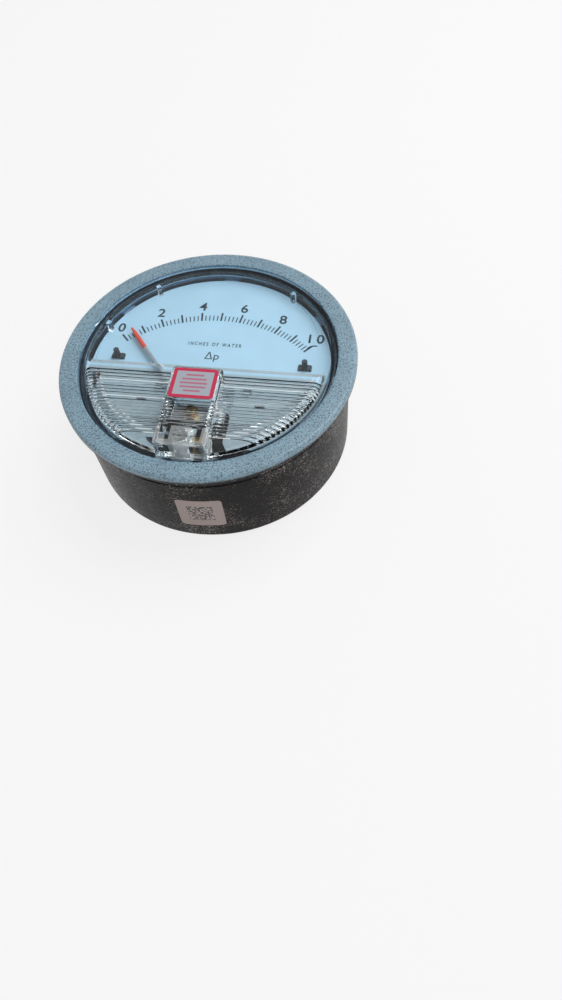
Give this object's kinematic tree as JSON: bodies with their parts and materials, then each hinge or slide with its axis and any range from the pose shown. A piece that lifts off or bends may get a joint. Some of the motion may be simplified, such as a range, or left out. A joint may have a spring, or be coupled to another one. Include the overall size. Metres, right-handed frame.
{
  "type": "differential pressure gauge",
  "caption": "Round dial differential pressure gauge with a painted case and bezel, a clear ribbed cover and a magnetically driven pointer.",
  "frame": {"origin": "centre of the flat back face", "axes": "+Z out of the dial, +Y to twelve o'clock on the dial, +X to three o'clock"},
  "size_m": [0.1206, 0.1206, 0.0553],
  "materials": {
    "case_paint": "dark brown-grey hammertone enamel on die-cast aluminium",
    "bezel_paint": "blue-grey hammertone enamel on die-cast aluminium",
    "clear_acrylic": "clear moulded acrylic",
    "dial_enamel": "pale blue-white enamel on sheet aluminium",
    "grey_silicone": "grey silicone rubber",
    "black_rubber": "matt black rubber",
    "red_silicone": "red-brown silicone rubber sheet",
    "bare_aluminium": "bare machined aluminium",
    "pointer_aluminium": "drawn aluminium tube, tip painted red",
    "zinc_steel": "zinc plated steel",
    "black_steel": "black oxide steel",
    "brass": "turned brass",
    "spring_steel": "polished spring steel strip",
    "magnet_grey": "sintered magnet alloy",
    "jewel": "synthetic ruby",
    "black_plastic": "black moulded plastic"
  },
  "bodies": {
    "housing": {"case": "case_paint", "overpressure_plug": "grey_silicone", "bezel": "bezel_paint", "cover": "clear_acrylic", "cover_o_ring": "black_rubber", "scale_plate": "dial_enamel", "scale_posts": "bare_aluminium", "scale_screws": "zinc_steel", "pointer_stop_left": "black_rubber", "pointer_stop_right": "black_rubber", "diaphragm": "red_silicone", "sealing_plate": "bare_aluminium", "retaining_ring": "zinc_steel", "zero_foot": "zinc_steel", "foot_spacers": "brass", "foot_washers": "zinc_steel", "foot_screws": "zinc_steel", "spring_clamp_base": "bare_aluminium", "spring_clamp_plate": "zinc_steel", "spring_clamp_screws": "zinc_steel", "wishbone": "black_plastic", "wishbone_bridge": "bare_aluminium", "wishbone_screws": "zinc_steel", "rear_jewel": "jewel", "front_jewel_screw": "brass", "front_jewel_nut": "brass", "zero_bracket": "black_plastic", "bracket_screws": "zinc_steel"},
    "pointer": {"pointer": "pointer_aluminium", "pointer_hub": "pointer_aluminium", "pointer_weight": "brass", "helix_shaft": "zinc_steel", "helix": "black_steel"},
    "range_spring": {"range_spring": "spring_steel", "magnet": "magnet_grey", "magnet_rivet": "zinc_steel"},
    "diaphragm_stack": {"diaphragm_front_plate": "bare_aluminium", "diaphragm_rear_plate": "bare_aluminium", "linkage_post": "brass", "linkage_nut": "brass"},
    "zero_screw": {"zero_screw": "clear_acrylic", "zero_screw_o_ring": "black_rubber", "zero_screw_clip": "zinc_steel", "adjust_screw": "brass"}
  },
  "joints": [
    {"name": "diaphragm_travel", "type": "slide", "parent": "housing", "child": "diaphragm_stack", "axis": [0, 0, 1], "range_m": [-0.00014, 0.00122], "stiffness_N_per_m": 6500, "deforming": ["diaphragm"]},
    {"name": "spring_flex", "type": "hinge", "parent": "housing", "child": "range_spring", "pos_m": [0, 0.022, 0.02718], "axis": [-1, 0, 0], "range_deg": [-0.37, 3.21], "stiffness_Nm_per_rad": 0.15, "deforming": ["range_spring"]},
    {"name": "pointer_swing", "type": "hinge", "parent": "housing", "child": "pointer", "pos_m": [0, -0.0301, 0.0429], "axis": [0, 0, -1], "range_deg": [-9.7, 86.9]},
    {"name": "zero_turn", "type": "hinge", "parent": "housing", "child": "zero_screw", "pos_m": [0, -0.0455, 0.05], "axis": [0, 0, 1], "range_deg": [-180, 180]}
  ],
  "couplings": [
    {"joint": "spring_flex", "follows": "diaphragm_travel", "rad_per_m": 45.43},
    {"joint": "pointer_swing", "follows": "diaphragm_travel", "rad_per_m": 1239}
  ]
}
